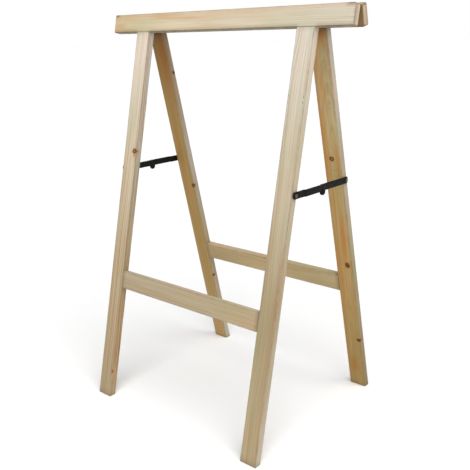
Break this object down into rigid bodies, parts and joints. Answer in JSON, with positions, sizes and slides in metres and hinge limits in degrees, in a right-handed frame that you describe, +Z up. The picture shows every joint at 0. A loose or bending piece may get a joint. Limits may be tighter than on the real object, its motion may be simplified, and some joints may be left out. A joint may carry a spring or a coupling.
{
  "type": "folding sawhorse",
  "caption": "Folding wooden sawhorse: two leaning batten frames hinged along their top beams, each with two legs and a low stretcher, held open by a jointed steel stay on each side.",
  "frame": {"origin": "on the floor, midway between the four feet and under the middle of the top beams", "axes": "+X along the beams, +Y from the front frame to the rear frame, +Z up"},
  "size_m": [0.56, 0.3742, 0.7497],
  "materials": {
    "pine": "planed, bare, edges eased",
    "dowel_beech": "turned, bare",
    "black_steel": "black, semi-matt",
    "zinc_steel": "zinc plated"
  },
  "bodies": {
    "front_frame": {"front_beam": "pine", "front_leg_left": "pine", "front_leg_right": "pine", "front_stretcher": "pine", "front_dowel_top_left_1": "dowel_beech", "front_dowel_top_left_2": "dowel_beech", "front_dowel_top_right_1": "dowel_beech", "front_dowel_top_right_2": "dowel_beech", "front_dowel_low_left_1": "dowel_beech", "front_dowel_low_left_2": "dowel_beech", "front_dowel_low_right_1": "dowel_beech", "front_dowel_low_right_2": "dowel_beech", "hinge_left_leaf_front": "zinc_steel", "hinge_left_pin": "zinc_steel", "hinge_left_screw_front_1": "zinc_steel", "hinge_left_screw_front_2": "zinc_steel", "hinge_right_leaf_front": "zinc_steel", "hinge_right_pin": "zinc_steel", "hinge_right_screw_front_1": "zinc_steel", "hinge_right_screw_front_2": "zinc_steel", "stay_left_screw_front": "zinc_steel", "stay_left_washer_front": "zinc_steel", "stay_right_screw_front": "zinc_steel", "stay_right_washer_front": "zinc_steel"},
    "rear_frame": {"rear_beam": "pine", "rear_leg_left": "pine", "rear_leg_right": "pine", "rear_stretcher": "pine", "rear_dowel_top_left_1": "dowel_beech", "rear_dowel_top_left_2": "dowel_beech", "rear_dowel_top_right_1": "dowel_beech", "rear_dowel_top_right_2": "dowel_beech", "rear_dowel_low_left_1": "dowel_beech", "rear_dowel_low_left_2": "dowel_beech", "rear_dowel_low_right_1": "dowel_beech", "rear_dowel_low_right_2": "dowel_beech", "hinge_left_leaf_rear": "zinc_steel", "hinge_left_screw_rear_1": "zinc_steel", "hinge_left_screw_rear_2": "zinc_steel", "hinge_right_leaf_rear": "zinc_steel", "hinge_right_screw_rear_1": "zinc_steel", "hinge_right_screw_rear_2": "zinc_steel", "stay_left_screw_rear": "zinc_steel", "stay_left_washer_rear": "zinc_steel", "stay_right_screw_rear": "zinc_steel", "stay_right_washer_rear": "zinc_steel"},
    "stay_left_front": {"stay_left_bar_front": "black_steel", "stay_left_rivet_inner": "black_steel"},
    "stay_left_rear": {"stay_left_bar_rear": "black_steel", "stay_left_rivet_outer": "black_steel"},
    "stay_right_front": {"stay_right_bar_front": "black_steel", "stay_right_rivet_outer": "black_steel"},
    "stay_right_rear": {"stay_right_bar_rear": "black_steel", "stay_right_rivet_inner": "black_steel"}
  },
  "joints": [
    {"name": "fold", "type": "hinge", "parent": "front_frame", "child": "rear_frame", "pos_m": [0, 0, 0.74412], "axis": [-1, 0, 0], "range_deg": [0, 25.8]},
    {"name": "stay_left_front_pivot", "type": "hinge", "parent": "front_frame", "child": "stay_left_front", "pos_m": [-0.2125, -0.0762, 0.45309], "axis": [1, 0, 0], "range_deg": [0, 75.4]},
    {"name": "stay_left_rear_pivot", "type": "hinge", "parent": "rear_frame", "child": "stay_left_rear", "pos_m": [-0.2125, 0.0762, 0.45309], "axis": [-1, 0, 0], "range_deg": [0, 75.4]},
    {"name": "stay_right_front_pivot", "type": "hinge", "parent": "front_frame", "child": "stay_right_front", "pos_m": [0.2125, -0.0762, 0.45309], "axis": [1, 0, 0], "range_deg": [0, 75.4]},
    {"name": "stay_right_rear_pivot", "type": "hinge", "parent": "rear_frame", "child": "stay_right_rear", "pos_m": [0.2125, 0.0762, 0.45309], "axis": [-1, 0, 0], "range_deg": [0, 75.4]}
  ],
  "couplings": [
    {"joint": "stay_left_front_pivot", "follows": "fold", "ratio": 2.9212},
    {"joint": "stay_left_rear_pivot", "follows": "fold", "ratio": 2.9212},
    {"joint": "stay_right_front_pivot", "follows": "fold", "ratio": 2.9212},
    {"joint": "stay_right_rear_pivot", "follows": "fold", "ratio": 2.9212}
  ]
}
